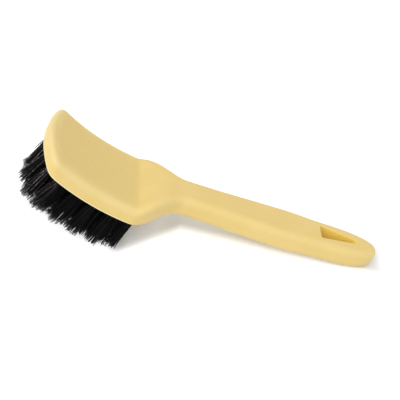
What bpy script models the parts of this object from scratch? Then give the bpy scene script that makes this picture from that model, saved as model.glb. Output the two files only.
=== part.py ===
# Upholstery brush with a curved head: one moulded block with its long handle, and
# tufts of nylon bristle set in drilled holes.
#
# The block is drawn in a working frame of its own: x runs from the head to the hanging
# end, y runs across, and z is up from the level of the handle's top. The crease where
# the head meets the neck is at x = 0. An empty then tips the whole brush until it
# stands on its heel bristles and on the end of its handle, as it does on a table.
# A station is a distance along the top of the block, negative on the head.

import math
import random

import bmesh
import bpy
import numpy as np
from mathutils import Matrix, Vector

# Head of the block
HEAD_LENGTH = 0.0612                  # from the crease to the toe, seen from above
HEAD_ARC_RADIUS = 0.1325              # of the hollow top, seen from the side
CREASE_TILT = math.radians(5.3)       # slope of the head's top at the crease
HEEL_THICKNESS = 0.0104               # of the head, square to its hollow top
TOE_THICKNESS = 0.0095
TOE_WIDTH = 0.0528
HEEL_WIDTH = 0.0515
TOE_CORNER_RADIUS = 0.0072
TOE_BOW = 0.0066                      # lead of the toe's middle over its corners
HEAD_RIM_RADIUS = 0.0054              # rounding of the head's top edge
BRISTLE_EDGE_RADIUS = 0.0006          # of the edge round the bristle face

# Neck and handle
HANDLE_LENGTH = 0.1551                # from the crease to the hanging end
PANEL_DROP = 0.0068                   # depth of the crease below the handle's top
RAMP_LENGTH = 0.0199                  # over which the neck climbs out of the crease
FLARE_LENGTH = 0.0304                 # over which the head narrows to the neck
FLARE_LEAD = 0.0020                   # the head starts to narrow this far before the crease
NECK_AT = 0.0314
NECK_WIDTH = 0.0211
NECK_THICKNESS = 0.0143
GRIP_AT = 0.0955
GRIP_WIDTH = 0.0251
GRIP_THICKNESS = 0.0146
TAIL_AT = 0.1175
TAIL_WIDTH = 0.0230
TAIL_THICKNESS = 0.0142
BEND_AT = 0.0600                      # beyond here the handle turns up a little
END_RISE = 0.0014
HANDLE_RIM_RADIUS = 0.0048
TAIL_ROUNDNESS = 2.42                 # power of the rounded end's outline, 2 is an ellipse
FILLET_LIMIT_SHARE = 0.84             # of the thickness, which the two roundings may take

# Hang hole, a tapered slot through the handle's end
HOLE_END_WALL = 0.0157                # from the hanging end to the slot's narrow end
HOLE_LENGTH = 0.0239
HOLE_WIDE_WIDTH = 0.0106
HOLE_NARROW_WIDTH = 0.0032
HOLE_WIDE_CORNER = 0.0011
HOLE_NARROW_CORNER = 0.0008

# Flat land under the handle's end, on which the brush stands
LAND_TO_HOLE = 0.0011                 # from the slot's narrow end to the start of the land

# Tufts
BRISTLE_LENGTH = 0.0216               # out of the bristle face
TOE_LEAN = math.radians(27.0)         # of the toe row, forwards from square to the handle
HEEL_LEAN = math.radians(14.0)        # and of the heel row
TOE_SPLAY = math.radians(7.0)         # sideways lean of a tuft at the edge of the toe row
HEEL_SPLAY = math.radians(11.5)       # and of the heel row
TUFT_ROWS = 10                        # from toe to heel
LONG_ROW_TUFTS = 6                    # every second row has one tuft less
TOE_MARGIN = 0.0042                   # from the toe to the middle of the first row
HEEL_MARGIN = 0.0010                  # from the crease back to the middle of the last row
SIDE_MARGIN = 0.0038
ROOT_RADIUS = 0.0021                  # of the folded bundle in its hole
ROOT_FIT = 0.0003                     # clearance between a root and its hole
ROOT_PROUD = 0.0004                   # the root's top stands this far out of the face
HOLE_DEPTH = 0.0070                   # of a tuft's drilled hole
STAPLE_HEIGHT = 0.0016                # of the flat wire that the bundle is folded over
STAPLE_TAPER_SHARE = 0.35             # of the fold's width, at the staple's edge
INNER_STRANDS = 3                     # strands of a tuft next to its middle
OUTER_STRANDS = 6                     # and round its edge
STRAND_TIP_SHARE = 0.85               # of a strand's thickness, at its tip
TIP_FILL_SHARE = 0.80                 # of the room between tufts that the tips fill out to
TUFT_WANDER = math.radians(1.1)       # most that a tuft strays from its direction
LENGTH_SCATTER = 0.0006               # most that a strand is longer or shorter
TRIM_CUT = 0.0005                     # depth to which the heel row is worn flat where it stands
RANDOM_SEED = 7

# How finely curved outlines are divided
TOE_EDGE_STEPS = 6
CORNER_STEPS = 5
HEAD_STEPS = 12
FLARE_STEPS = 12
HANDLE_STEPS = 11
END_STEPS = 9
SETTLING_STEPS = 6                    # rounds in which the toe corner's arc finds its place
TOP_ROUNDING_ANGLES = (0, 30, 60, 90)
UNDER_ROUNDING_ANGLES = (90, 45, 0)
DRILL_SIDES = 12
SLOT_CORNER_STEPS = 3

SHARP_ANGLE = math.radians(40)        # edges at more than this are not shaded smooth

OVERRUN = 0.0040                      # how far every cutter runs past what it cuts

# Colours, as linear light
CREAM_PLASTIC = (0.823, 0.624, 0.248, 1.0)
CREAM_ROUGHNESS = 0.42
BLACK_NYLON = (0.006, 0.006, 0.007, 1.0)
NYLON_ROUGHNESS = 0.45


def ease(t):
    """Half a cosine wave: 0 at t = 0 and 1 at t = 1, level at both ends."""
    t = np.clip(t, 0.0, 1.0)
    return 0.5 - 0.5 * np.cos(np.pi * t)


def side_profile(station):
    """Top and underside of the block in side view, as two arrays of x and z.

    The head is a plate between two arcs about one centre above it, a little thinner
    towards the toe. Behind the crease the top climbs as a parabola that ends level, and
    the underside eases from the heel's to the handle's. The block leaves its mould
    straight up, so a station's top and underside stand at the same x.
    """
    station = np.asarray(station, dtype=float)
    centre_x = HEAD_ARC_RADIUS * math.sin(CREASE_TILT)
    centre_z = HEAD_ARC_RADIUS * math.cos(CREASE_TILT) - PANEL_DROP
    reach = centre_x - np.minimum(station, 0)
    head_thickness = np.interp(station, (-HEAD_LENGTH, 0), (TOE_THICKNESS, HEEL_THICKNESS))
    head_top = centre_z - np.sqrt(HEAD_ARC_RADIUS ** 2 - reach ** 2)
    head_under = centre_z - np.sqrt((HEAD_ARC_RADIUS + head_thickness) ** 2 - reach ** 2)

    climb_left = 1 - np.clip(station / RAMP_LENGTH, 0, 1)
    past_bend = np.clip((station - BEND_AT) / (HANDLE_LENGTH - BEND_AT), 0, None)
    handle_top = END_RISE * past_bend ** 2 - PANEL_DROP * climb_left ** 2
    thickness = np.interp(
        station,
        (NECK_AT, GRIP_AT, TAIL_AT),
        (NECK_THICKNESS, GRIP_THICKNESS, TAIL_THICKNESS),
    )
    top_z = np.where(station < 0, head_top, handle_top)
    eased = ease(station / RAMP_LENGTH)
    under_z = head_under + eased * (handle_top - thickness - head_under)
    return np.stack((station, top_z), axis=-1), np.stack((station, under_z), axis=-1)


def half_width(station):
    """Half the block's width at a station, from the toe's corners to the handle's tail."""
    station = np.asarray(station, dtype=float)
    head = np.interp(station, (-HEAD_LENGTH, -FLARE_LEAD), (TOE_WIDTH / 2, HEEL_WIDTH / 2))
    narrowing = ease((station + FLARE_LEAD) / FLARE_LENGTH)
    neck = HEEL_WIDTH / 2 + narrowing * (NECK_WIDTH - HEEL_WIDTH) / 2
    swelling = ease((station - NECK_AT) / (GRIP_AT - NECK_AT))
    grip = NECK_WIDTH / 2 + swelling * (GRIP_WIDTH - NECK_WIDTH) / 2
    closing = ease((station - GRIP_AT) / (TAIL_AT - GRIP_AT))
    tail = GRIP_WIDTH / 2 + closing * (TAIL_WIDTH - GRIP_WIDTH) / 2
    return np.select(
        (station < -FLARE_LEAD, station < NECK_AT, station < GRIP_AT), (head, neck, grip), tail
    )


def plan_outline():
    """One side of the block's outline seen from above, from mid-toe to mid-end.

    The toe is a shallow parabola, an arc turns its corner, and the hanging end is a
    quarter of a superellipse.
    """
    half_toe = TOE_WIDTH / 2
    corner_y = half_toe - TOE_CORNER_RADIUS
    lean = 0.0
    for _ in range(SETTLING_STEPS):
        lean = math.atan(2 * TOE_BOW * corner_y / half_toe ** 2)
        corner_y = half_toe - TOE_CORNER_RADIUS * (1 - math.sin(lean))
    toe_y = np.linspace(0, corner_y, TOE_EDGE_STEPS + 1)
    toe = np.stack((TOE_BOW * (toe_y / half_toe) ** 2 - HEAD_LENGTH, toe_y), axis=-1)

    turn = np.linspace(lean, math.pi / 2, CORNER_STEPS + 1)[1:, None]
    centre = toe[-1] + TOE_CORNER_RADIUS * np.array((math.cos(lean), -math.sin(lean)))
    corner = centre + TOE_CORNER_RADIUS * np.hstack((-np.cos(turn), np.sin(turn)))

    flare_end = FLARE_LENGTH - FLARE_LEAD
    stations = np.concatenate((
        np.linspace(corner[-1, 0], -FLARE_LEAD, HEAD_STEPS + 1)[1:],
        np.linspace(-FLARE_LEAD, flare_end, FLARE_STEPS + 1)[1:],
        np.linspace(flare_end, TAIL_AT, HANDLE_STEPS + 1)[1:],
    ))
    side = np.stack((stations, half_width(stations)), axis=-1)

    sweep = np.linspace(0, math.pi / 2, END_STEPS + 1)[1:]
    power = 2 / TAIL_ROUNDNESS
    end_x = TAIL_AT + (HANDLE_LENGTH - TAIL_AT) * np.sin(sweep) ** power
    end_y = TAIL_WIDTH / 2 * np.clip(np.cos(sweep), 0, None) ** power
    end_y[-1] = 0
    return np.concatenate((toe, corner, side, np.stack((end_x, end_y), axis=-1)))


def block_rings():
    """Rings round the block, from its bristle face up over its rim, as (x, y, z) rows.

    Each ring follows the plan outline, drawn in along the outline's normal and set
    down from the top, or up from the underside, by a quarter circle of the rounding.
    The two roundings shrink together where the block is too thin for both.
    """
    outline = plan_outline()
    along = np.gradient(outline, axis=0)
    along /= np.linalg.norm(along, axis=1, keepdims=True)
    outward = np.stack((-along[:, 1], along[:, 0]), axis=-1)
    outward[0] = (-1, 0)
    outward[-1] = (1, 0)

    station = outline[:, 0]
    top, under = side_profile(station)
    reach = (0, FLARE_LENGTH)
    top_radius = np.interp(station, reach, (HEAD_RIM_RADIUS, HANDLE_RIM_RADIUS))
    under_radius = np.interp(station, reach, (BRISTLE_EDGE_RADIUS, HANDLE_RIM_RADIUS))
    room = FILLET_LIMIT_SHARE * (top - under)[:, 1]
    shrink = np.minimum(1, room / (top_radius + under_radius))

    rings = []
    for radius, angles, from_top in (
        (shrink * under_radius, UNDER_ROUNDING_ANGLES, False),
        (shrink * top_radius, TOP_ROUNDING_ANGLES, True),
    ):
        for angle in np.radians(angles):
            inset = radius * (1 - math.cos(angle))
            depth = radius * (1 - math.sin(angle))
            moved = outline - inset[:, None] * outward
            top, under = side_profile(moved[:, 0])
            height = top[:, 1] - depth if from_top else under[:, 1] + depth
            across = np.clip(moved[:, 1], 0, None)
            across[[0, -1]] = 0
            rings.append(np.stack((moved[:, 0], across, height), axis=-1))
    return rings


def new_object(name, mesh, collection, parent):
    """Link a mesh object to its collection, under the empty that tips the brush."""
    obj = bpy.data.objects.new(name, mesh)
    collection.objects.link(obj)
    obj.parent = parent
    return obj


def finish_mesh(name, bm):
    """Turn a bmesh into a mesh whose faces point outwards."""
    bmesh.ops.recalc_face_normals(bm, faces=bm.faces)
    mesh = bpy.data.meshes.new(name)
    bm.to_mesh(mesh)
    bm.free()
    return mesh


def block_mesh():
    """Skin the rings, and close the top and the bristle face with rungs across."""
    bm = bmesh.new()
    loops = []
    for ring in block_rings():
        left = [bm.verts.new(point) for point in ring]
        right = [bm.verts.new((x, -y, z)) for x, y, z in ring[1:-1]]
        loops.append((left, [left[0], *right, left[-1]]))
    for (low_left, low_right), (high_left, high_right) in zip(loops, loops[1:]):
        for low, high in ((low_left, high_left), (low_right, high_right)):
            for i in range(len(low) - 1):
                bm.faces.new((low[i], low[i + 1], high[i + 1], high[i]))
    for left, right in (loops[0], loops[-1]):
        for i in range(len(left) - 1):
            corners = dict.fromkeys((left[i], left[i + 1], right[i + 1], right[i]))
            bm.faces.new(tuple(corners))
    return finish_mesh("handle_block", bm)


def slot_outline():
    """Corners of the hang hole, rounded, in order round the slot."""
    narrow_x = HANDLE_LENGTH - HOLE_END_WALL
    wide_x = narrow_x - HOLE_LENGTH
    corners = (
        Vector((narrow_x, -HOLE_NARROW_WIDTH / 2)),
        Vector((narrow_x, HOLE_NARROW_WIDTH / 2)),
        Vector((wide_x, HOLE_WIDE_WIDTH / 2)),
        Vector((wide_x, -HOLE_WIDE_WIDTH / 2)),
    )
    radii = (HOLE_NARROW_CORNER, HOLE_NARROW_CORNER, HOLE_WIDE_CORNER, HOLE_WIDE_CORNER)
    points = []
    for i, (corner, radius) in enumerate(zip(corners, radii)):
        before = (corners[i - 1] - corner).normalized()
        after = (corners[(i + 1) % len(corners)] - corner).normalized()
        half_angle = before.angle(after) / 2
        middle = corner + (before + after).normalized() * radius / math.sin(half_angle)
        start = corner + before * radius / math.tan(half_angle) - middle
        for step in range(SLOT_CORNER_STEPS + 1):
            turn = (math.pi - 2 * half_angle) * step / SLOT_CORNER_STEPS
            points.append(middle + Matrix.Rotation(turn, 2) @ start)
    return points


def slot_cutter_mesh():
    """A prism of the hang hole's outline that runs past the handle's top and underside."""
    bm = bmesh.new()
    low = -PANEL_DROP - TAIL_THICKNESS - OVERRUN
    face = bm.faces.new([bm.verts.new((x, y, low)) for x, y in slot_outline()])
    grown = bmesh.ops.extrude_face_region(bm, geom=[face])
    raised = [item for item in grown["geom"] if isinstance(item, bmesh.types.BMVert)]
    bmesh.ops.translate(bm, verts=raised, vec=(0, 0, END_RISE + OVERRUN - low))
    return finish_mesh("hang_hole_cutter", bm)


def floor_line():
    """Two points of the surface that the brush stands on, in side view.

    It passes through the heel row's tips, a little short of their full length, and
    meets the handle's underside just past the hang hole.
    """
    _, heel = side_profile(-HEEL_MARGIN)
    trimmed = BRISTLE_LENGTH - TRIM_CUT
    heel_tip = heel - trimmed * np.array((math.sin(HEEL_LEAN), math.cos(HEEL_LEAN)))
    _, land = side_profile(HANDLE_LENGTH - HOLE_END_WALL + LAND_TO_HOLE)
    return Vector((heel_tip[0], 0, heel_tip[1])), Vector((land[0], 0, land[1]))


def floor_tilt():
    """Angle that the floor line climbs, from the heel towards the hanging end."""
    heel_tip, land = floor_line()
    return math.atan2(land.z - heel_tip.z, land.x - heel_tip.x)


def land_cutter_mesh():
    """A box below the floor line that takes the handle's end down to a flat land."""
    _, land = floor_line()
    length = HANDLE_LENGTH - land.x + OVERRUN
    width = TAIL_WIDTH + OVERRUN
    depth = TAIL_THICKNESS
    bm = bmesh.new()
    bmesh.ops.create_cube(bm, size=1)
    bmesh.ops.scale(bm, vec=(length, width, depth), verts=bm.verts)
    bmesh.ops.translate(bm, vec=(length / 2, 0, -depth / 2), verts=bm.verts)
    turn = Matrix.Rotation(-floor_tilt(), 3, "Y")
    bmesh.ops.rotate(bm, matrix=turn, verts=bm.verts)
    bmesh.ops.translate(bm, vec=land, verts=bm.verts)
    return finish_mesh("rest_land_cutter", bm)


def tuft_places():
    """Where each tuft leaves the bristle face and how it points, toe row first.

    Yields a row, a column, how far the tuft stands from the middle of its row, counted
    in tufts and negative on the -y side, and the matrix of its own frame, whose z runs
    along the bristles. The rows are bowed like the toe, less and less towards the heel.
    A tuft and its mirror image stray from their direction alike.
    """
    stations = np.linspace(TOE_MARGIN - HEAD_LENGTH, -HEEL_MARGIN, TUFT_ROWS)
    for row, station in enumerate(stations):
        count = LONG_ROW_TUFTS if row % 2 else LONG_ROW_TUFTS - 1
        toe_share = 1 - row / (TUFT_ROWS - 1)
        pitch = 2 * (float(half_width(station)) - SIDE_MARGIN) / (LONG_ROW_TUFTS - 1)
        for column in range(count):
            offset = column - (count - 1) / 2
            y = offset * pitch
            bow = toe_share * TOE_BOW * (2 * y / TOE_WIDTH) ** 2
            _, (x, z) = side_profile(station + bow)
            stray = random.Random(f"{RANDOM_SEED} direction {row} {abs(offset)}")
            lean = HEEL_LEAN + toe_share * (TOE_LEAN - HEEL_LEAN)
            lean += stray.uniform(-TUFT_WANDER, TUFT_WANDER)
            splay = HEEL_SPLAY + toe_share * (TOE_SPLAY - HEEL_SPLAY)
            splay *= 2 * abs(offset) / (LONG_ROW_TUFTS - 1)
            splay += stray.uniform(-TUFT_WANDER, TUFT_WANDER) * (offset != 0)
            splay = math.copysign(splay, offset)
            turn = Matrix.Rotation(lean, 4, "Y") @ Matrix.Rotation(math.pi + splay, 4, "X")
            yield row, column, offset, Matrix.Translation((x, y, z)) @ turn


def tuft_hole_cutter_mesh():
    """One drill for each tuft, from outside the bristle face to the bottom of its hole."""
    bm = bmesh.new()
    for _, _, _, place in tuft_places():
        bmesh.ops.create_cone(
            bm,
            cap_ends=True,
            segments=DRILL_SIDES,
            radius1=ROOT_RADIUS + ROOT_FIT,
            radius2=ROOT_RADIUS + ROOT_FIT,
            depth=HOLE_DEPTH + OVERRUN,
            matrix=place @ Matrix.Translation((0, 0, (OVERRUN - HOLE_DEPTH) / 2)),
        )
    return finish_mesh("tuft_hole_cutter", bm)


def tip_spread():
    """How far apart the tips stand, as a multiple of how far apart the strands' feet do."""
    row_pitch = (HEAD_LENGTH - TOE_MARGIN - HEEL_MARGIN) / (TUFT_ROWS - 1)
    tuft_pitch = (HEEL_WIDTH - 2 * SIDE_MARGIN) / (LONG_ROW_TUFTS - 1)
    nearest = min(math.hypot(row_pitch, tuft_pitch / 2), tuft_pitch)
    return TIP_FILL_SHARE * nearest / (2 * ROOT_RADIUS)


def new_verts(result):
    """The vertices that a bmesh operator made."""
    return [item for item in result["geom"] if isinstance(item, bmesh.types.BMVert)]


def root_with_staple(bm):
    """A tuft's folded root, closed below by the wedge of its staple; returns the feet.

    The root's top is a lattice of triangles, a hexagon pushed out to a circle. Every
    second triangle can be the foot of a strand, and all but the middle ring of those are.
    """
    bmesh.ops.create_circle(bm, cap_ends=True, cap_tris=True, segments=6, radius=ROOT_RADIUS)
    bmesh.ops.subdivide_edges(bm, edges=bm.edges, cuts=1, use_grid_fill=True)
    alternate = []
    for face in bm.faces:
        middle = face.calc_center_median()
        if sum(vert.co.x < middle.x for vert in face.verts) == 2:
            alternate.append(face)
    alternate.sort(key=lambda face: face.calc_center_median().length)
    feet = alternate[:INNER_STRANDS] + alternate[-OUTER_STRANDS:]
    fold_half_width = ROOT_RADIUS * math.sin(math.pi / 3) / 2
    for vert in bm.verts:
        if vert.is_boundary:
            vert.co = vert.co.normalized() * ROOT_RADIUS
    bmesh.ops.translate(bm, verts=bm.verts, vec=(0, 0, ROOT_PROUD))

    shaft = bmesh.ops.extrude_face_region(bm, geom=bm.faces[:])
    root_length = ROOT_PROUD + HOLE_DEPTH - ROOT_FIT - STAPLE_HEIGHT
    bmesh.ops.translate(bm, verts=new_verts(shaft), vec=(0, 0, -root_length))
    fold = [
        item for item in shaft["geom"]
        if isinstance(item, bmesh.types.BMFace) and abs(item.calc_center_median().x) < fold_half_width
    ]
    wedge = bmesh.ops.extrude_face_region(bm, geom=fold)
    for vert in new_verts(wedge):
        vert.co.z -= STAPLE_HEIGHT
        vert.co.x *= STAPLE_TAPER_SHARE
    bmesh.ops.delete(bm, geom=fold, context="FACES")
    return feet


def tuft_mesh(name, row, offset, floor_point, floor_normal):
    """A root and the straight strands out of its top, in the tuft's own frame.

    The strands stand apart by widening evenly from the root, so none can cross. In the
    heel row, which carries the brush, each strand ends in the plane of the floor. A tuft
    on the -y side is drawn as its mirror image and turned over at the end.
    """
    scatter = random.Random(f"{RANDOM_SEED} strands {row} {abs(offset)}")
    spread = tip_spread()
    bm = bmesh.new()
    strands = bmesh.ops.extrude_discrete_faces(bm, faces=root_with_staple(bm))
    for face in strands["faces"]:
        middle = face.calc_center_median()
        length = BRISTLE_LENGTH + scatter.uniform(-LENGTH_SCATTER, LENGTH_SCATTER)
        tip = Vector((middle.x * spread, middle.y * spread, length))
        for vert in face.verts:
            foot = vert.co.copy()
            run = tip + (foot - middle) * STRAND_TIP_SHARE - foot
            if row == TUFT_ROWS - 1:
                run *= floor_normal.dot(floor_point - foot) / floor_normal.dot(run)
            vert.co = foot + run
    if offset < 0:
        bmesh.ops.scale(bm, vec=(1, -1, 1), verts=bm.verts)
    return finish_mesh(name, bm)


def plastic(name, colour, roughness):
    """A Principled material with a plain colour."""
    material = bpy.data.materials.new(name)
    material.use_nodes = True
    shader = material.node_tree.nodes["Principled BSDF"]
    shader.inputs["Base Color"].default_value = colour
    shader.inputs["Roughness"].default_value = roughness
    shader.inputs["Metallic"].default_value = 0.0
    material.diffuse_color = colour
    return material


def add_cutter(block, mesh, collection, stand):
    """Cut a mesh's shape out of the block with a live Boolean modifier."""
    cutter = new_object(mesh.name, mesh, collection, stand)
    cutter.hide_render = True
    cutter.display_type = "WIRE"
    cut = block.modifiers.new(mesh.name, "BOOLEAN")
    cut.operation = "DIFFERENCE"
    cut.solver = "EXACT"
    cut.object = cutter


def stand_up(stand, parts):
    """Tip the brush onto the floor, with the middle of its bounding box over the origin."""
    stand.rotation_euler = (0, floor_tilt(), 0)
    turn = stand.rotation_euler.to_matrix().to_4x4()
    corners = np.array([
        turn @ part.matrix_basis @ vert.co for part in parts for vert in part.data.vertices
    ])
    middle = (corners.min(axis=0) + corners.max(axis=0)) / 2
    heel_tip, _ = floor_line()
    stand.location = (-middle[0], -middle[1], -(turn @ heel_tip).z)


def main():
    for obj in list(bpy.data.objects):
        bpy.data.objects.remove(obj)
    brush = bpy.data.collections.new("upholstery_brush")
    cutters = bpy.data.collections.new("cutters")
    for collection in (brush, cutters):
        bpy.context.scene.collection.children.link(collection)
    stand = bpy.data.objects.new("stand", None)
    brush.objects.link(stand)

    block = new_object("handle_block", block_mesh(), brush, stand)
    block.data.materials.append(plastic("cream_plastic", CREAM_PLASTIC, CREAM_ROUGHNESS))
    block.data.shade_smooth()
    block.data.set_sharp_from_angle(angle=SHARP_ANGLE)
    for mesh in (tuft_hole_cutter_mesh(), slot_cutter_mesh(), land_cutter_mesh()):
        add_cutter(block, mesh, cutters, stand)

    parts = [block]
    nylon = plastic("black_nylon", BLACK_NYLON, NYLON_ROUGHNESS)
    heel_tip, land = floor_line()
    floor_normal = Vector((0, 1, 0)).cross(heel_tip - land).normalized()
    for row, column, offset, place in tuft_places():
        into_tuft = place.inverted()
        point = into_tuft @ heel_tip
        normal = into_tuft.to_3x3() @ floor_normal
        if offset < 0:
            point.y = -point.y
            normal.y = -normal.y
        name = f"bristle_tuft_row_{row + 1:02d}_no_{column + 1}"
        tuft = new_object(name, tuft_mesh(name, row, offset, point, normal), brush, stand)
        tuft.matrix_basis = place
        tuft.data.materials.append(nylon)
        parts.append(tuft)
    stand_up(stand, parts)


main()
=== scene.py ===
# Looks for the upholstery brush: the moulded block and its bristles as fine surfaces,
# their materials, and a pale floor under soft light. The brush's sizes are in
# millimetres, in the block's own frame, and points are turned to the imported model's
# frame, in metres, as a mesh is made.

import math
import random

import bmesh
import bpy
import numpy as np
from mathutils import Euler, Matrix, Vector


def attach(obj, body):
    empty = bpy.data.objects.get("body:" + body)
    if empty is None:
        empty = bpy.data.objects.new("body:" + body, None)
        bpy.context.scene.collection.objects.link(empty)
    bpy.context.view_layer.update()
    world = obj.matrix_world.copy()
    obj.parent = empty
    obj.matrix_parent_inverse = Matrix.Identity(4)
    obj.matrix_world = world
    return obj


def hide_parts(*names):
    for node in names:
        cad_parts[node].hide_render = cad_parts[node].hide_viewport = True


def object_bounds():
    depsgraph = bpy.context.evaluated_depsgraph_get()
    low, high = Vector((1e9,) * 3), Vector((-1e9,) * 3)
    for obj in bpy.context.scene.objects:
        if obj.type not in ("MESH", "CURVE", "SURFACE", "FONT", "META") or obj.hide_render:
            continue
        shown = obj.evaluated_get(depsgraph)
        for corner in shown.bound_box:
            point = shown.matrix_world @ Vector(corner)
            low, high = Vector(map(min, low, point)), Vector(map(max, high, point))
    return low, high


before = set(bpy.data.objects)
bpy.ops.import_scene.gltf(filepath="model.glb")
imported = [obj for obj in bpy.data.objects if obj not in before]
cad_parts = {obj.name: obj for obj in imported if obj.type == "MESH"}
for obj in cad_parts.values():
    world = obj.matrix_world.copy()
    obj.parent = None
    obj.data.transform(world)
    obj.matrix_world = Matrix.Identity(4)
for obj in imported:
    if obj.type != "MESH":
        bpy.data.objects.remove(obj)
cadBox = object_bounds()
mm = 0.001


# The camera stands where the photograph was taken from.
camera = {
    "place": (-0.11268, -0.44913, 0.39740),
    "turn": (49.5669, -14.5840, -1.4555),
    "lens": 90.9,
    "sensor": 36.0,
    "clipStart": 0.01,
}


def makeCamera():
    lens = bpy.data.cameras.new("photoCamera")
    lens.lens = camera["lens"]
    lens.sensor_width = camera["sensor"]
    lens.clip_start = camera["clipStart"]
    made = bpy.data.objects.new("photoCamera", lens)
    made.location = camera["place"]
    made.rotation_euler = Euler([math.radians(angle) for angle in camera["turn"]])
    bpy.context.scene.collection.objects.link(made)
    bpy.context.scene.camera = made


makeCamera()
print("camera is set")


# An output of a node. Arithmetic on it adds Math nodes.
class Wire:
    def __init__(self, tree, socket=None):
        self.tree = tree
        self.socket = socket

    # any node: its type, its settings, and the values or wires of its inputs
    def node(self, kind, settings=None, inputs=None, output=0):
        made = self.tree.nodes.new(kind)
        for name, value in (settings or {}).items():
            setattr(made, name, value)
        self.fill(made, inputs or {})
        return Wire(self.tree, made.outputs[output] if made.outputs else None)

    # sets the inputs of a node, or links wires to them
    def fill(self, made, inputs):
        for name, value in inputs.items():
            if isinstance(value, Wire):
                self.tree.links.new(value.socket, made.inputs[name])
            else:
                made.inputs[name].default_value = value

    # a Math node on this value and others
    def maths(self, operation, *others):
        values = dict(enumerate((self, *others)))
        return self.node("ShaderNodeMath", {"operation": operation}, values)

    def __add__(self, other):
        return self.maths("ADD", other)

    def __sub__(self, other):
        return self.maths("SUBTRACT", other)

    def __rsub__(self, other):
        return self.node("ShaderNodeMath", {"operation": "SUBTRACT"}, {0: other, 1: self})

    def __mul__(self, other):
        return self.maths("MULTIPLY", other)

    __radd__ = __add__
    __rmul__ = __mul__

    # A smooth step from 0 at low to 1 at high. Low may be the larger of the two.
    def step(self, low, high):
        settings = {"interpolation_type": "SMOOTHSTEP"}
        limits = {"Value": self, "From Min": low, "From Max": high}
        return self.node("ShaderNodeMapRange", settings, limits)

    # One colour that turns into another as this value goes from 0 to 1. Inputs 6 and 7
    # and output 2 are the Mix node's colours.
    def blend(self, first, second, kind="MIX"):
        settings = {"data_type": "RGBA", "blend_type": kind}
        return self.node("ShaderNodeMix", settings, {0: self, 6: first, 7: second}, 2)


def newMaterial(name):
    made = bpy.data.materials.new(name)
    made.use_nodes = True
    return made, Wire(made.node_tree), made.node_tree.nodes["Principled BSDF"]


# a value that the mesh carries at each of its points
def carried(board, name):
    return board.node("ShaderNodeAttribute", {"attribute_name": name}, output="Fac")


# Cream polypropylene with the fine spark-eroded grain of its mould. Its colours are for
# the body, faint clouds, the head's top face, a painted highlight on lip and rim, painted
# bounce light on the hang hole's wall, scuffs and specks. A step gives the two values
# between which a noise turns from 0 to 1.
plastic = {
    "body": (0.800, 0.592, 0.205, 1),
    "cloud": (0.825, 0.615, 0.228, 1),
    "panel": (0.800, 0.595, 0.212, 1),
    # painted highlight on lip and rim
    "pale": (0.970, 0.850, 0.520, 1),
    # painted bounce light inside the hang hole
    "deep": (0.940, 0.705, 0.165, 1),
    "scuff": (0.780, 0.620, 0.290, 1),
    "speck": (0.80, 0.80, 0.78, 1),
    "noSpeck": (1, 1, 1, 1),
    "grainScale": 2600,
    "fleckScale": 620,
    "cloudScale": 55,
    "scuffScale": 900,
    "scuffDraw": (0.12, 1.0, 1.0),
    "cloudStep": (0.36, 0.66),
    "scuffStep": (0.62, 0.74),
    "speckStep": (0.3, 0.7),
    "scuffShare": 0.12,
    "speckShare": 0.1,
    "panelSpecks": 0.1,
    "roughness": 0.40,
    "fleckRoughness": 0.08,
    "panelRoughness": 0.08,
    "scuffGloss": 0.04,
    "refraction": 1.49,
    "shine": 0.42,
    "bump": 0.5,
    "bumpDepth": 0.00006,
    "smoothGrain": 0.5,
    "fleckHeight": 0.9,
    "scuffHeight": 0.15,
}

# masks that the block's mesh carries: the head's top face, a painted highlight on lip and
# rim, and painted bounce light on the wall of the hang hole
maskNames = ("panelMask", "paleMask", "deepMask")


# Grain is full on the panel and lower elsewhere, and scuffs are noise drawn out along x.
def makePlastic():
    made, board, shader = newMaterial("creamPlastic")
    place = board.node("ShaderNodeTexCoord", output="Object")
    panel, pale, deep = (carried(board, name) for name in maskNames)

    def noise(scale, detail, where=place):
        inputs = {"Vector": where, "Scale": scale, "Detail": detail}
        return board.node("ShaderNodeTexNoise", None, inputs)

    grain = noise(plastic["grainScale"], 2)
    fleck = noise(plastic["fleckScale"], 3)
    cloud = noise(plastic["cloudScale"], 3).step(*plastic["cloudStep"])
    vectors = {0: place, 1: plastic["scuffDraw"]}
    drawn = board.node("ShaderNodeVectorMath", {"operation": "MULTIPLY"}, vectors)
    scuff = noise(plastic["scuffScale"], 4, drawn).step(*plastic["scuffStep"])
    speck = fleck.step(*plastic["speckStep"]).blend(plastic["speck"], plastic["noSpeck"])

    colour = cloud.blend(plastic["body"], plastic["cloud"])
    colour = panel.blend(colour, plastic["panel"])
    # painted highlight on lip and rim
    colour = pale.blend(colour, plastic["pale"])
    # painted bounce light on the hang hole's wall
    colour = deep.blend(colour, plastic["deep"])
    colour = (scuff * plastic["scuffShare"]).blend(colour, plastic["scuff"])
    share = panel * plastic["panelSpecks"] + plastic["speckShare"]
    colour = share.blend(colour, speck, "MULTIPLY")

    roughness = fleck * plastic["fleckRoughness"] + panel * plastic["panelRoughness"]
    roughness = roughness - scuff * plastic["scuffGloss"] + plastic["roughness"]
    height = grain * (panel * (1 - plastic["smoothGrain"]) + plastic["smoothGrain"])
    height = height + fleck * plastic["fleckHeight"] + scuff * plastic["scuffHeight"]
    bump = {
        "Strength": plastic["bump"], "Distance": plastic["bumpDepth"], "Height": height
    }
    board.fill(shader, {
        "Base Color": colour,
        "Roughness": roughness,
        "Normal": board.node("ShaderNodeBump", None, bump),
        "IOR": plastic["refraction"],
        "Specular IOR Level": plastic["shine"],
    })
    return made


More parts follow.
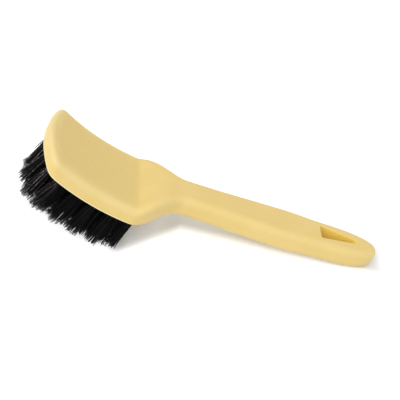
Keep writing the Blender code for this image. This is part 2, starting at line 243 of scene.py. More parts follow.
# Black nylon filament, with a shade of its own between the darkest and the palest
nylon = {
    "darkest": (0.0012, 0.0012, 0.0013, 1),
    "palest": (0.0700, 0.0640, 0.0670, 1),
    # painted glint on tips and flecks
    "glintFleck": (0.4800, 0.4300, 0.4500, 1),
    "glintScale": 1500,
    "glintFrom": (0.80, 1.0),
    "glintDraw": 7.3,
    "glintStep": (0.5, 1.0),
    "paleShades": (0.60, 0.9),
    "paleGlint": (0.50, 0.62),
    "roughness": 0.46,
    "shadeRoughness": 0.12,
    "glintRoughness": 0.12,
    "shine": 0.08,
    "bump": 0.3,
    "bumpDepth": 0.00003,
}


# Half of the filaments have a painted glint on their tips. Which ones comes from the
# fraction of a multiple of their own shade. The palest filaments also have painted glint
# flecks all along.
def makeNylon():
    made, board, shader = newMaterial("blackNylon")
    place = board.node("ShaderNodeTexCoord", output="Object")
    along = carried(board, "alongBristle")
    own = carried(board, "ownShade")
    inputs = {"Vector": place, "Scale": nylon["glintScale"], "Detail": 3}
    glintFleck = board.node("ShaderNodeTexNoise", None, inputs)
    draw = (own * nylon["glintDraw"]).maths("FRACT")
    glinting = along.step(*nylon["glintFrom"]) * draw.step(*nylon["glintStep"]) * glintFleck
    glinting = glinting + own.step(*nylon["paleShades"]) * glintFleck.step(*nylon["paleGlint"])
    colour = (own * own * own).blend(nylon["darkest"], nylon["palest"])
    roughness = own * nylon["shadeRoughness"] + glintFleck * nylon["glintRoughness"]
    bump = {"Strength": nylon["bump"], "Distance": nylon["bumpDepth"], "Height": glintFleck}
    board.fill(shader, {
        "Base Color": glinting.blend(colour, nylon["glintFleck"]),
        "Roughness": roughness + nylon["roughness"],
        "Specular IOR Level": nylon["shine"],
        "Normal": board.node("ShaderNodeBump", None, bump),
    })
    return made


plasticMaterial = makePlastic()
nylonMaterial = makeNylon()
print("materials are made")


# Sizes of the block: x from the crease at 0 to the hanging end, y across, z up from the
# handle's top. A station is a place on x, negative on the head.
block = {
    "headLength": 61.1,
    "arcRadius": 132.5,
    "creaseTilt": math.radians(5.3),
    "creaseSoftness": 0.6,
    "headThickness": (9.5, 10.4),  # at the toe and at the heel
    "toeWidth": 52.8,
    "heelWidth": 51.5,
    "toeCorner": 5.8,
    "toeBow": 6.6,  # how far the toe's middle leads its corners
    "cornerFade": 14.0,
    "rimRadii": (5.4, 4.8),  # of the head and of the handle
    "bristleEdge": 0.6,
    "handleLength": 155.0,
    "drop": 6.8,  # of the crease below the handle's top
    "ramp": 19.9,
    "flare": 30.4,
    "flareLead": 2.0,
    "neck": (31.4, 21.1, 14.3),  # station, width and thickness
    "grip": (95.5, 25.1, 14.6),
    "tail": (117.5, 23.0, 14.2),
    "bendAt": 60.0,
    "endRise": 1.4,
    "endPower": 2.42,
    "slot": (115.5, 139.4),
    "slotWidths": (10.6, 3.2),
    "slotCorners": (1.1, 0.8),
    "slotEdge": 0.45,
    "slide": -40.5288,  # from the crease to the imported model's middle

    # the lip round the bristle face, and the stations over which head and toe fade
    "lip": 0.25,
    "lipHeight": (0.45, 1.05),
    "headFade": (-6, 4),
    "toeFade": (-47, -57),

    # masks: a painted highlight on lip and rim, more so on the head and at the toe, and
    # the top face
    "lipHighlight": 1.0,
    "rimHighlight": 0.11,
    "headHighlight": 0.9,
    "panelRim": (-0.5, 3.5),
    "panelFade": (-3.5, 2.0),

    # how its grids are divided, and how near points are merged, in metres
    "toePoints": 19,
    "toePower": 0.8,
    "cornerPoints": 17,
    "sideParts": (100, 60, 70, 10),
    "endPoints": 41,
    "slotCornerPoints": 9,
    "slotSidePoints": 16,
    "split": 108.0,
    "underRings": 7,
    "sideRings": (0.04, 0.08, 0.12, 0.17, 0.25, 0.4, 0.6, 0.8),
    "topRings": 14,
    "rungs": 41,
    "fanRows": 14,
    "fanPower": 1.3,
    "wallRings": 7,
    "wallRows": 10,
    "weld": 0.000002,
}

# Tufts of bristles, in mm and degrees
tufts = {
    "length": 21.6,
    "toeLean": 27.0,
    "heelLean": 14.0,
    "toeSplay": 7.0,
    "heelSplay": 11.5,
    "rows": 10,
    "longRow": 6,
    "toeMargin": 4.2,
    "heelMargin": 1.0,
    "sideMargin": 3.8,
    "wander": 1.1,
    "trim": 0.5,
    "seed": 7,
    "landStation": 140.5,
    "crater": (2.0, 2.7, 0.9),  # two radii and a depth
}


# half a cosine wave from 0 to 1
def ease(t):
    return 0.5 - 0.5 * np.cos(np.pi * np.clip(t, 0, 1))


# the cubic 3tt - 2ttt from 0 at low to 1 at high
def softStep(low, high, value):
    t = np.clip((value - low) / (high - low), 0, 1)
    return t * t * (3 - 2 * t)


# Heights of the top and the underside in side view. The head is a plate between two arcs
# about one centre above it. Behind the crease the top climbs as a parabola that ends
# level, and past the bend it rises as another. The underside eases from the head's arc to
# the handle's thickness below the top. The crease is the soft maximum of arc and
# parabola: the larger of them plus k log(1 + exp(-difference / k)).
def sideProfile(x):
    x = np.asarray(x, float)
    radius, lean, drop = block["arcRadius"], block["creaseTilt"], block["drop"]
    centreX, centreZ = radius * math.sin(lean), radius * math.cos(lean) - drop
    reach = centreX - np.minimum(x, 0)
    plate = np.interp(x, (-block["headLength"], 0), block["headThickness"])
    headTop = centreZ - np.sqrt(radius ** 2 - reach ** 2)
    headUnder = centreZ - np.sqrt((radius + plate) ** 2 - reach ** 2)
    left = 1 - np.clip(x / block["ramp"], 0, 1)
    past = (x - block["bendAt"]) / (block["handleLength"] - block["bendAt"])
    handleTop = block["endRise"] * np.clip(past, 0, None) ** 2 - drop * left ** 2
    spans = (block["neck"], block["grip"], block["tail"])
    thick = np.interp(x, [span[0] for span in spans], [span[2] for span in spans])
    under = headUnder + ease(x / block["ramp"]) * (handleTop - thick - headUnder)

    reach = np.clip(centreX - x, -radius, radius)
    arcOver = centreZ - np.sqrt(radius ** 2 - reach ** 2)
    rampOver = -drop * np.clip(1 - x / block["ramp"], 0, None) ** 2
    apart = np.abs(arcOver - rampOver) / block["creaseSoftness"]
    soft = block["creaseSoftness"] * np.log1p(np.exp(-apart)) * (x < block["ramp"])
    return np.where(x < 0, headTop, handleTop) + soft, under


# Half the width: straight along the head, then half-cosine waves to neck, grip and tail
def halfWidth(station):
    station = np.asarray(station, float)
    (neckAt, neck, _), (gripAt, grip, _), (tailAt, tail, _) = (
        block["neck"], block["grip"], block["tail"]
    )
    lead, heel = block["flareLead"], block["heelWidth"]
    head = np.interp(station, (-block["headLength"], -lead), (block["toeWidth"], heel))
    flare = heel + ease((station + lead) / block["flare"]) * (neck - heel)
    swell = neck + ease((station - neckAt) / (gripAt - neckAt)) * (grip - neck)
    close = grip + ease((station - gripAt) / (tailAt - gripAt)) * (tail - grip)
    tests = (station < -lead, station < neckAt, station < gripAt)
    return np.select(tests, (head, flare, swell), close) / 2


# One side of the plan outline: a parabola across the toe, an arc round its corner, the
# side, and a quarter of a superellipse round the hanging end. The first loop finds where
# arc and parabola meet at one slope. The small step from the arc to the side fades out
# along the side. Also returns how many of its points lie up to the split.
def planOutline():
    half, corner = block["toeWidth"] / 2, block["toeCorner"]
    y = half - corner
    for _ in range(8):
        lean = math.atan(2 * block["toeBow"] * y / half ** 2)
        y = half - corner * (1 - math.sin(lean))
    toeY = y * np.linspace(0, 1, block["toePoints"]) ** block["toePower"]
    toeX = block["toeBow"] * (toeY / half) ** 2 - block["headLength"]
    toe = np.stack((toeX, toeY), -1)
    turn = np.linspace(lean, math.pi / 2, block["cornerPoints"])[1:, None]
    centre = toe[-1] + corner * np.array((math.cos(lean), -math.sin(lean)))
    arc = centre + corner * np.hstack((-np.cos(turn), np.sin(turn)))

    lead, tailAt, split = block["flareLead"], block["tail"][0], block["split"]
    marks = (arc[-1, 0], -lead, block["flare"] - lead, split, tailAt)
    stations = np.concatenate([
        np.linspace(start, end, count + 1)[1:]
        for start, end, count in zip(marks, marks[1:], block["sideParts"])
    ])
    step = half - float(halfWidth(arc[-1, 0]))
    step = step * (1 - softStep(arc[-1, 0], arc[-1, 0] + block["cornerFade"], stations))
    side = np.stack((stations, halfWidth(stations) + step), -1)

    sweep = np.linspace(0, math.pi / 2, block["endPoints"])[1:]
    power = 2 / block["endPower"]
    endX = tailAt + (block["handleLength"] - tailAt) * np.sin(sweep) ** power
    endY = block["tail"][1] / 2 * np.clip(np.cos(sweep), 0, None) ** power
    endY[-1] = 0
    points = np.concatenate((toe, arc, side, np.stack((endX, endY), -1)))
    return points, len(toe) + len(arc) + sum(block["sideParts"][:3])


# One side of the hang hole, from the middle of its wide end's wall to the middle of its
# narrow end's: straight walls with an arc at each corner. Also returns the direction
# into the plastic at each point. The wide wall takes the first points, ahead of total.
def slotOutline(ahead, total):
    (wideX, narrowX), (wide, narrow) = block["slot"], block["slotWidths"]
    slope = np.array((narrowX - wideX, (narrow - wide) / 2))
    normal = np.array((-slope[1], slope[0])) / np.linalg.norm(slope)
    lean = math.atan2(normal[1], normal[0])
    cornerCount, sideCount = block["slotCornerPoints"], block["slotSidePoints"]

    def corner(x, radius, start, end):
        y = wide / 2 - (radius + normal[0] * (x - wideX)) / normal[1]
        angle = np.linspace(start, end, cornerCount)
        ways = np.stack((np.cos(angle), np.sin(angle)), -1)
        return np.array((x, y)) + radius * ways, ways

    first, last = block["slotCorners"]
    wideArc, wideWays = corner(wideX + first, first, math.pi, lean)
    narrowArc, narrowWays = corner(narrowX - last, last, lean, 0)
    wallY = np.linspace(0, wideArc[0, 1], ahead)[:-1]
    endCount = total - len(wallY) - 2 * cornerCount - sideCount
    endY = np.linspace(narrowArc[-1, 1], 0, endCount + 1)[1:]
    along = np.linspace(0, 1, sideCount + 2)[1:-1, None]
    points = np.concatenate((
        np.stack((np.full_like(wallY, wideX), wallY), -1),
        wideArc,
        wideArc[-1] + along * (narrowArc[0] - wideArc[-1]),
        narrowArc,
        np.stack((np.full_like(endY, narrowX), endY), -1),
    ))
    ways = np.concatenate((
        np.tile((-1.0, 0.0), (len(wallY), 1)),
        wideWays,
        np.tile(normal, (sideCount, 1)),
        narrowWays,
        np.tile((1.0, 0.0), (endCount, 1)),
    ))
    return points, ways


# Row, number, how many pitches from the row's middle, and the frame of each tuft, whose z
# runs along the bristles
def tuftPlaces():
    places = []
    wander = tufts["wander"]
    start = tufts["toeMargin"] - block["headLength"]
    stations = np.linspace(start, -tufts["heelMargin"], tufts["rows"])
    for row, station in enumerate(stations):
        count = tufts["longRow"] if row % 2 else tufts["longRow"] - 1
        toeShare = 1 - row / (tufts["rows"] - 1)
        rowLean = tufts["heelLean"] + toeShare * (tufts["toeLean"] - tufts["heelLean"])
        rowSplay = tufts["heelSplay"] + toeShare * (tufts["toeSplay"] - tufts["heelSplay"])
        room = 2 * (float(halfWidth(station)) - tufts["sideMargin"])
        pitch = room / (tufts["longRow"] - 1)
        for column in range(count):
            offset = column - (count - 1) / 2
            y = offset * pitch
            bow = toeShare * block["toeBow"] * (2 * y / block["toeWidth"]) ** 2
            x = station + bow
            _, z = sideProfile(x)
            stray = random.Random(f"{tufts['seed']} direction {row} {abs(offset)}")
            lean = rowLean + stray.uniform(-wander, wander)
            splay = rowSplay * (2 * abs(offset) / (tufts["longRow"] - 1))
            splay += stray.uniform(-wander, wander) * (offset != 0)
            splay = math.radians(math.copysign(splay, offset))
            turn = Matrix.Rotation(math.radians(lean), 4, "Y")
            turn = turn @ Matrix.Rotation(math.pi + splay, 4, "X")
            places.append((row, column, offset, Matrix.Translation((x, y, z)) @ turn))
    return places


# Slope of the floor line through the heel row's tips and the land under the handle's
# end, and how high the block's frame stands over it
def floorLine():
    lean = math.radians(tufts["heelLean"])
    worn = tufts["length"] - tufts["trim"]
    tipX = -tufts["heelMargin"] - worn * math.sin(lean)
    tipZ = sideProfile(-tufts["heelMargin"])[1] - worn * math.cos(lean)
    landZ = sideProfile(tufts["landStation"])[1]
    slope = math.atan2(landZ - tipZ, tufts["landStation"] - tipX)
    return slope, tipX * math.sin(slope) - tipZ * math.cos(slope)


floorSlope, frameHeight = floorLine()


# From the block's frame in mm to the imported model's in metres: turned by the floor's
# slope, slid and raised
def toModel(points):
    x, y, z = np.moveaxis(np.asarray(points, float), -1, 0)
    turnedX = x * math.cos(floorSlope) + z * math.sin(floorSlope)
    turnedZ = z * math.cos(floorSlope) - x * math.sin(floorSlope)
    return np.stack((turnedX + block["slide"], y, turnedZ + frameHeight), -1) * mm


# quads over a grid of points that are numbered row by row
def gridQuads(rows, columns, closed=False):
    row, column = np.meshgrid(
        np.arange(rows - 1), np.arange(columns if closed else columns - 1), indexing="ij"
    )
    beside = (column + 1) % columns
    quads = (row * columns + column, row * columns + beside,
             (row + 1) * columns + beside, (row + 1) * columns + column)
    return np.stack(quads, -1).reshape(-1, 4)


# A mesh object from points, quads and named values for each point. Points closer than
# weld, in metres, are merged.
def meshPiece(name, points, quads, values, material, weld=0):
    mesh = bpy.data.meshes.new(name)
    mesh.vertices.add(len(points))
    mesh.vertices.foreach_set("co", points.astype(np.float32).ravel())
    mesh.loops.add(quads.size)
    mesh.loops.foreach_set("vertex_index", quads.astype(np.int32).ravel())
    mesh.polygons.add(len(quads))
    mesh.polygons.foreach_set("loop_start", np.arange(0, quads.size, 4, dtype=np.int32))
    for key, value in values.items():
        layer = mesh.attributes.new(key, "FLOAT", "POINT")
        layer.data.foreach_set("value", value.astype(np.float32).ravel())
    mesh.update(calc_edges=True)
    if weld:
        skin = bmesh.new()
        skin.from_mesh(mesh)
        bmesh.ops.remove_doubles(skin, verts=skin.verts, dist=weld)
        bmesh.ops.recalc_face_normals(skin, faces=skin.faces)
        skin.to_mesh(mesh)
        skin.free()
    mesh.shade_smooth()
    mesh.materials.append(material)
    piece = bpy.data.objects.new(name, mesh)
    bpy.context.scene.collection.objects.link(piece)
    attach(piece, "root")
    return piece


# plan points lifted to the top, side 0, or to the underside, side 1
def lifted(plan, side):
    return np.stack((plan[..., 0], plan[..., 1], sideProfile(plan[..., 0])[side]), -1)


# a patch of the block's skin: a grid of points with its masks, 0 where none is given
def patchOf(points, **masks):
    empty = np.zeros(points.shape[:2])
    return points, [masks.get(name, empty) for name in maskNames]


# Rings round one half of the block, from the bristle face up to the top. They follow the
# outline, drawn in along its normal and set up from the underside, or down from the top,
# by a quarter circle of the rounding, with straight side between. A lip stands out along
# the edge of the bristle face. Lip and rim carry a painted highlight, the rim's by the
# squared sine of twice the angle round it. Each ring is its plan points, its points and
# its painted highlight mask.
def skirtRings(outline):
    along = np.gradient(outline, axis=0)
    along /= np.linalg.norm(along, axis=1, keepdims=True)
    outward = np.stack((-along[:, 1], along[:, 0]), -1)
    outward[0], outward[-1] = (-1, 0), (1, 0)
    station = outline[:, 0]
    top, under = sideProfile(station)
    thick = top - under
    headRim, handleRim = block["rimRadii"]
    neck = (0, block["flare"])
    topRadius = np.interp(station, neck, (headRim, handleRim))
    underRadius = np.interp(station, neck, (block["bristleEdge"], handleRim))
    headShare = 1 - softStep(*block["headFade"], station)
    # the painted highlight is stronger on the head and towards the toe
    highlightMore = block["headHighlight"] * headShare + softStep(*block["toeFade"], station)
    rimHighlight = block["rimHighlight"] * (1 + highlightMore)

    def ring(inset, rise, fromTop, ridge=0):
        height = thick - rise if fromTop else rise
        lip = headShare * (1 - softStep(*block["lipHeight"], height))
        moved = outline - (inset - block["lip"] * lip)[:, None] * outward
        moved[:, 1] = np.clip(moved[:, 1], 0, None)
        moved[[0, -1], 1] = 0
        top, under = sideProfile(moved[:, 0])
        z = top - rise if fromTop else under + rise
        # painted highlight on the lip and along the rim's ridge
        pale = block["lipHighlight"] * lip + ridge * rimHighlight
        return moved, np.stack((moved[:, 0], moved[:, 1], z), -1), pale

    rings = []
    for angle in np.radians(np.linspace(90, 0, block["underRings"])):
        inset = underRadius * (1 - math.cos(angle))
        rings.append(ring(inset, underRadius * (1 - math.sin(angle)), False))
    for share in block["sideRings"]:
        rise = underRadius + share * (thick - topRadius - underRadius)
        rings.append(ring(0 * rise, rise, False))
    for angle in np.radians(np.linspace(0, 90, block["topRings"])):
        inset = topRadius * (1 - math.cos(angle))
        ridge = math.sin(2 * angle) ** 2
        rings.append(ring(inset, topRadius * (1 - math.sin(angle)), True, ridge))
    return rings


# 1 on the head's top face, 0 on its rim and behind the crease
def panelShare(plan, rimY):
    fromToe = plan[..., 0] + block["headLength"] - block["rimRadii"][0]
    fromToe = fromToe - block["toeBow"] * (2 * plan[..., 1] / block["toeWidth"]) ** 2
    fromRim = np.minimum(rimY - plan[..., 1], fromToe)
    behind = softStep(*block["panelFade"], plan[..., 0])
    return softStep(*block["panelRim"], fromRim) * (1 - behind)


# The wall of the hang hole, rounded over above and below by a quarter circle. Its deep
# colour, painted bounce light from the cream walls, comes in over the rounding.
def holeWall(slot, ways):
    edge, count = block["slotEdge"], block["wallRings"]
    rows = []
    for side, sign in ((0, -1), (1, 1)):
        for angle in np.radians(np.linspace(0, 90, count)):
            row = lifted(slot + ways * edge * (1 - math.sin(angle)), side)
            row[:, 2] += sign * edge * (1 - math.cos(angle))
            rows.append(row)
    upper, lower = rows[:count], rows[:count - 1:-1]
    shares = np.linspace(0, 1, block["wallRows"])[1:-1]
    between = [upper[-1] + share * (lower[0] - upper[-1]) for share in shares]
    wall = np.stack(upper + between + lower)
    marks = (0, count - 1, len(wall) - count, len(wall) - 1)
    deep = np.interp(np.arange(len(wall)), marks, (0, 1, 1, 0))
    return patchOf(wall, deepMask=np.tile(deep[:, None], wall.shape[1]))


# All patches of one half of the skin: the rings, the top and the underside, and the wall
# of the hang hole. Up to the split, rungs run from the middle to the edge. Beyond it, a
# fan spreads from the hang hole. The bristle face has a small crater round each tuft.
def blockPatches():
    outline, ahead = planOutline()
    rings = skirtRings(outline)
    skirt = np.stack([points for _, points, _ in rings])
    pale = np.stack([pale for _, _, pale in rings])
    patches = [patchOf(skirt, paleMask=pale)]

    spots = [np.array(place.translation) for _, _, _, place in tuftPlaces()]
    inner, outer, depth = tufts["crater"]
    count = block["rungs"]
    share = np.linspace(0, 1, count)[:, None]
    slot, ways = slotOutline(count, count + len(outline) - ahead)
    hole = slot + ways * block["slotEdge"]
    reach = (np.linspace(0, 1, block["fanRows"]) ** block["fanPower"])[:, None, None]
    for side, (edge, _, _) in ((0, rings[-1]), (1, rings[0])):
        middle = np.tile(edge[:ahead, 0], (count, 1))
        ladder = np.stack((middle, share * edge[:ahead, 1]), -1)
        points = lifted(ladder, side)
        if side == 0:
            patches.append(patchOf(points, panelMask=panelShare(ladder, edge[:ahead, 1])))
        else:
            for spot in spots:
                apart = np.linalg.norm(points - spot, axis=-1)
                points[..., 2] += depth * (1 - softStep(inner, outer, apart))
            patches.append(patchOf(points))
        rim = np.concatenate((ladder[:, -1], edge[ahead:]))
        patches.append(patchOf(lifted(hole + reach * (rim - hole), side)))
    patches.append(holeWall(slot, ways))
    return patches


# the patches and their mirror images, merged along their seams
def makeBlock():
    points, masks, quads, first = [], [], [], 0
    for patch, patchMasks in blockPatches():
        for mirror in (1, -1):
            points.append(patch.reshape(-1, 3) * (1, mirror, 1))
            masks.append([mask.ravel() for mask in patchMasks])
            quads.append(gridQuads(*patch.shape[:2]) + first)
            first += len(points[-1])
    points = toModel(np.concatenate(points))
    points[:, 2] = np.clip(points[:, 2], 0, None)
    masks = dict(zip(maskNames, np.concatenate(masks, axis=1)))
    quads, weld = np.concatenate(quads), block["weld"]
    piece = meshPiece("mouldedBlock", points, quads, masks, plasticMaterial, weld)
    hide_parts("handle_block")


makeBlock()
print("block is made")


# Filaments, in mm, in the frame of their tuft: x towards the heel, y towards the near
# side and z along the bristles. An offset counts pitches from the row's middle.
filament = {
    "perTuft": 110,
    "radius": 0.180,
    "tipWidth": 0.78,  # share of the radius
    "levels": 7,
    "rootRadius": 1.95,
    "sunk": 1.5,
    "goldenAngle": 2.39996,
    "fullTurn": 6.2832,
    "startTurn": 6.3,
    "cornerTurn": 1.6,
    "spread": (2.0, 2.5),  # from foot to tip, in x and y
    "toeSpread": (1.4, 2.8),
    "heelSpread": (1.3, 1.9),
    "square": (0.8, 0.3),  # how square, in the middle rows and in the end rows
    "fan": (1.0, -0.35),  # of short rows and of long rows, for each pitch
    "toeFan": 0.5,
    "toeDraw": 1.0,  # of the first row's tips, towards the heel
    "heelDraw": (0.8, -1.6),  # of foot and tip
    "toeRows": 3.5,
    "toeBend": (7.0, 7.0),  # of the far corner's tips, in x and y
    "bendOffsets": (-0.6, 2.4),  # where it starts, and how far it grows
    "bendPower": (0.9, 0.5),  # usual, and where bent
    "toeWear": 2.0,
    "outerLonger": ((0, 2, 7, 8, 9), (0.2, 1.2, 1.1, 0.1, -1.5)),  # rows and lengths
    "clumps": 9,
    "clumpBlur": 0.35,
    "clumpDrift": 0.40,
    "ownDrift": 0.55,
    "strayShare": 0.03,
    "strayDrift": 1.2,
    "tuftDrift": 0.30,
    "bow": 0.22,
    "scatter": 0.40,
    "tuftScatter": 0.25,
    "shortShare": (0.05, 0.22),  # usual, and at the toe
    "shortRows": (5, 1),
    "shortBy": (0.5, 8.0),
    "clumpShade": 0.15,
    "shade": 0.68,
    # painted highlight on the toe rows, less for each pitch out from the middle
    "toeHighlight": 0.42,
    "sideShade": 0.3,
    "clear": 0.25,  # over the floor
    "inside": (0.3, 1.0),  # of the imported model's box
    "drawPower": 1.5,
}


# How far a row belongs to the toe, from 0 to 1, and how far each of its tufts belongs to
# the toe's far corner, whose bristles are bent in and worn
def toeShares(row, offsets):
    atToe = softStep(filament["toeRows"], 0, row)
    start, span = filament["bendOffsets"]
    return atToe, atToe * np.clip((offsets - start) / span, 0, 1)[:, None]


# Feet and tips of a row's filaments, as x and y in their tuft's frame, and each
# filament's clump. Feet lie on a sunflower spiral. A tip is its foot spread out to a
# rounded square, plus a drift for its clump, its tuft and itself, and a few go astray.
# The short rows fan out so that their tips end as far out as the long rows'. The heel
# row's feet lie a little further back and its tips further forwards.
def filamentEnds(row, offsets, chance):
    count, clumps = filament["perTuft"], filament["clumps"]
    groups = len(offsets)
    atToe, bent = toeShares(row, offsets)
    number = np.arange(count)
    start = chance.uniform(0, filament["startTurn"], (groups, 1))
    angle = number * filament["goldenAngle"] + start
    radius = filament["rootRadius"] * np.sqrt((number + 0.5) / count)
    foot = np.stack((radius * np.cos(angle), radius * np.sin(angle)), -1)

    blurred = angle + chance.normal(0, filament["clumpBlur"], angle.shape)
    member = np.floor(blurred / filament["fullTurn"] * clumps).astype(int) % clumps
    drift = chance.normal(0, filament["clumpDrift"], (groups, clumps, 2))
    drift = np.take_along_axis(drift, member[..., None], 1)
    drift = drift + chance.normal(0, filament["ownDrift"], foot.shape)
    drift = drift + chance.normal(0, filament["tuftDrift"], (groups, 1, 2))
    astray = chance.random((groups, count, 1)) < filament["strayShare"]
    drift = drift + astray * chance.normal(0, filament["strayDrift"], foot.shape)
    fan = filament["fan"][row % 2] + filament["toeFan"] * atToe
    drift = drift - np.array((0, fan)) * offsets[:, None, None]
    drift[..., 0] += filament["toeDraw"] * (row == 0)
    drift = drift + np.array(filament["toeBend"]) * bent[..., None]

    ends = {0: "toeSpread", tufts["rows"] - 1: "heelSpread"}
    spread = filament[ends.get(row, "spread")]
    square = np.maximum(np.abs(np.cos(angle)), np.abs(np.sin(angle)))
    square = square ** -filament["square"][row in ends]
    tip = foot * spread * square[..., None] + drift
    atHeel = row == tufts["rows"] - 1
    foot[..., 0] += filament["heelDraw"][0] * atHeel
    tip[..., 0] += filament["heelDraw"][1] * atHeel
    return foot, tip, member


# A four-sided skin round each filament's middle line, closed at both ends. Turn is the
# angle of its first corner.
def filamentSkin(middle, turn, frames):
    groups, count, levels = middle.shape[:3]
    corner = turn[..., None] + np.arange(4) * math.pi / 2
    across = np.stack((np.cos(corner), np.sin(corner), 0 * corner), -1)
    across = np.einsum("tij,tfcj->tfci", frames[:, :3, :3], across)
    across = toModel(across) - toModel(np.zeros(3))
    width = filament["radius"] * np.append(np.ones(levels - 1), filament["tipWidth"])
    points = middle[:, :, :, None] + across[:, :, None] * width[:, None, None]
    tipCap = np.arange(4)[None] + 4 * (levels - 1)
    one = np.concatenate((gridQuads(levels, 4, True), [[3, 2, 1, 0]], tipCap))
    firsts = np.arange(groups * count)[:, None, None] * 4 * levels
    return points, (one + firsts).reshape(-1, 4)


# All filaments of a row. A filament runs from its foot to its tip, drifting sideways as a
# power of its length and bowing by half a sine wave. Outer tufts are a little longer,
# apart from the heel row's, and a share of the filaments, the largest at the toe, is cut
# shorter. Returns points, quads and for each point how far along its filament it is and
# the filament's own shade.
def rowFilaments(row, offsets, places):
    chance = np.random.default_rng(tufts["seed"] * 100 + row)
    foot, tip, member = filamentEnds(row, offsets, chance)
    groups, count = member.shape
    atToe, bent = toeShares(row, offsets)
    usual, bendy = filament["bendPower"]
    power = (usual + (bendy - usual) * bent)[..., None, None]
    length = tufts["length"] + chance.normal(0, filament["scatter"], (groups, count))
    length += chance.normal(0, filament["tuftScatter"], (groups, 1))
    outer = (np.abs(offsets) / ((tufts["longRow"] - 1) / 2))[:, None] ** 2
    worn = bent * filament["toeWear"]
    length += outer * np.interp(row, *filament["outerLonger"]) - worn
    bow = chance.normal(0, filament["bow"], foot.shape)

    shade = np.take_along_axis(chance.random((groups, filament["clumps"])), member, 1)
    shade = filament["clumpShade"] * shade
    shade = shade + (1 - filament["clumpShade"]) * chance.random((groups, count))
    # The toe rows' filaments are painted paler, least at the outer tufts: a painted
    # highlight where light catches the toe.
    pale = atToe * (1 - filament["sideShade"] * np.abs(offsets))[:, None]
    shade = shade * (filament["shade"] + filament["toeHighlight"] * pale)
    turn = chance.uniform(0, filament["cornerTurn"], (groups, count))

    few, many = filament["shortShare"]
    cut = few + (many - few) * softStep(*filament["shortRows"], row)
    short = chance.random((groups, count)) < cut
    length -= short * chance.uniform(*filament["shortBy"], (groups, count))
    frames = np.array([np.array(place) for place in places])
    share = np.linspace(0, 1, filament["levels"])

    def lines(reach):
        t = share * reach[..., None]
        side = foot[:, :, None] + (tip - foot)[:, :, None] * t[..., None] ** power
        side = side + bow[:, :, None] * np.sin(np.pi * t)[..., None]
        deep = t * (length[..., None] + filament["sunk"]) - filament["sunk"]
        local = np.concatenate((side, deep[..., None]), -1)
        turned = np.einsum("tij,tflj->tfli", frames[:, :3, :3], local)
        return toModel(turned + frames[:, None, None, :3, 3])

    # shorten what would pass through the floor, and draw in what would leave the box
    reach = np.ones((groups, count))
    for _ in range(3):
        middle = lines(reach)
        start, end = middle[:, :, 0, 2], middle[:, :, -1, 2]
        reach = reach * np.minimum((start - filament["clear"] * mm) / (start - end), 1)
    middle = lines(reach)
    low, high = cadBox
    inside = chance.uniform(*filament["inside"], (groups, count, 1)) * mm
    drawn = share ** filament["drawPower"]
    over = np.clip(np.abs(middle[:, :, -1:, 1]) - high[1] + inside, 0, None)
    middle[..., 1] -= np.sign(middle[..., 1]) * over * drawn
    over = np.clip(low[0] + inside - middle[:, :, -1:, 0], 0, None)
    middle[..., 0] += over * drawn

    points, quads = filamentSkin(middle, turn, frames)
    values = {
        "alongBristle": np.broadcast_to(share[:, None], points.shape[:-1]),
        "ownShade": np.broadcast_to(shade[:, :, None, None], points.shape[:-1]),
    }
    return points.reshape(-1, 3), quads, values


def makeBristles():
    places = tuftPlaces()
    for row in range(tufts["rows"]):
        here = [place for place in places if place[0] == row]
        offsets = np.array([place[2] for place in here])
        points, quads, values = rowFilaments(row, offsets, [place[3] for place in here])
        piece = meshPiece(f"bristleRow{row + 1}", points, quads, values, nylonMaterial)
        names = [f"bristle_tuft_row_{row + 1:02d}_no_{place[1] + 1}" for place in here]
        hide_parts(*names)


makeBristles()
print("bristles are made")


# Floor, light and white surroundings, in metres and degrees. The shadow line is given by
# its y where it bends, the x of the bend, and its slopes ahead of the bend and behind.
studio = {
    "floorReach": 2,
    "floorHeight": -0.0002,
    "floorColour": (0.84, 0.85, 0.86, 1),
    "floorGlow": 0.02,
    "patchGlow": 0.12,
    "patchEnds": ((-0.052, -0.040), (-0.026, -0.012)),
    "sideGlow": 0.61,
    "glowFrom": (0.0085, 0.0205),
    "glowEnds": ((-0.045, -0.058), (0.112, 0.132)),
    "shadowLine": (0.0155, -0.010, 0.83, -0.09),
    "sunPower": 1.05,
    "sunSpread": 50,
    "sunFrom": (-0.58, -0.56, 0.58),
    "ambient": 0.83,
}

# the rays by which the surroundings are seen: straight, mirrored and through glass
seenRays = ("Is Camera Ray", "Is Glossy Ray", "Is Transmission Ray")


# 1 for the seen rays, 0 for the others
def isSeen(board):
    straight, mirrored, through = (
        board.node("ShaderNodeLightPath", output=ray) for ray in seenRays
    )
    return straight.maths("MAXIMUM", mirrored).maths("MAXIMUM", through)


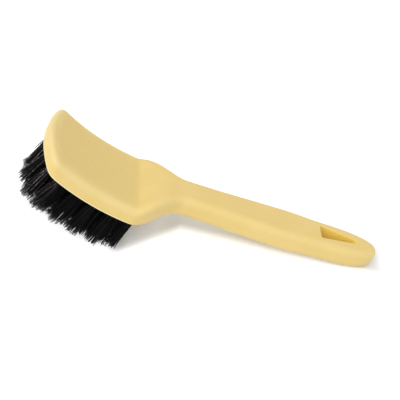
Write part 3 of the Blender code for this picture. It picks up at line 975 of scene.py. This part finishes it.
# The floor keeps the shadow under the neck and the handle: for the seen rays it glows
# least along a bent line under them, and a little more in a patch between the heel row
# and the neck. Away from the line, and past both ends of the brush, its glow makes it
# plain white.
def makeFloor():
    mesh = bpy.data.meshes.new("floor")
    far, height = studio["floorReach"], studio["floorHeight"]
    signs = ((-1, -1), (1, -1), (1, 1), (-1, 1))
    corners = [(far * x, far * y, height) for x, y in signs]
    mesh.from_pydata(corners, [], [(0, 1, 2, 3)])
    floor = bpy.data.objects.new("floor", mesh)
    bpy.context.scene.collection.objects.link(floor)
    made = bpy.data.materials.new("paleFloor")
    made.use_nodes = True
    made.node_tree.nodes.clear()
    board = Wire(made.node_tree)
    place = board.node("ShaderNodeTexCoord", output="Object")
    x, y = (board.node("ShaderNodeSeparateXYZ", None, {0: place}, axis) for axis in "XY")

    level, bendAt, ahead, behind = studio["shadowLine"]
    along = x - bendAt
    line = along.maths("MINIMUM", 0) * ahead + along.maths("MAXIMUM", 0) * behind + level
    aside = (y - line).maths("ABSOLUTE").step(*studio["glowFrom"])
    left, right = (x.step(*limits) for limits in studio["glowEnds"])
    start, end = (x.step(*limits) for limits in studio["patchEnds"])
    glow = (aside + left + right).maths("MINIMUM", 1)
    glow = glow * studio["sideGlow"] + studio["floorGlow"]
    glow = (start - end) * studio["patchGlow"] + glow

    diffuse = board.node("ShaderNodeBsdfDiffuse", None, {"Color": studio["floorColour"]})
    inputs = {"Color": glow, "Strength": isSeen(board)}
    glow = board.node("ShaderNodeEmission", None, inputs)
    both = board.node("ShaderNodeAddShader", None, {0: diffuse, 1: glow})
    board.node("ShaderNodeOutputMaterial", None, {"Surface": both})
    mesh.materials.append(made)


# a wide soft sun, and a world that is white where it is seen and a little darker as light
def makeLight():
    sun = bpy.data.lights.new("softSun", "SUN")
    sun.energy = studio["sunPower"]
    sun.angle = math.radians(studio["sunSpread"])
    lamp = bpy.data.objects.new("softSun", sun)
    lamp.rotation_euler = Vector(studio["sunFrom"]).to_track_quat("Z", "Y").to_euler()
    bpy.context.scene.collection.objects.link(lamp)
    world = bpy.data.worlds.new("surroundings")
    bpy.context.scene.world = world
    world.use_nodes = True
    world.node_tree.nodes.clear()
    board = Wire(world.node_tree)
    ambient = studio["ambient"]
    strength = isSeen(board) * (1 - ambient) + ambient
    inputs = {"Color": (1, 1, 1, 1), "Strength": strength}
    back = board.node("ShaderNodeBackground", None, inputs)
    board.node("ShaderNodeOutputWorld", None, {"Surface": back})
    bpy.context.scene.view_settings.view_transform = "Standard"


makeFloor()
makeLight()
print("floor and light are made")
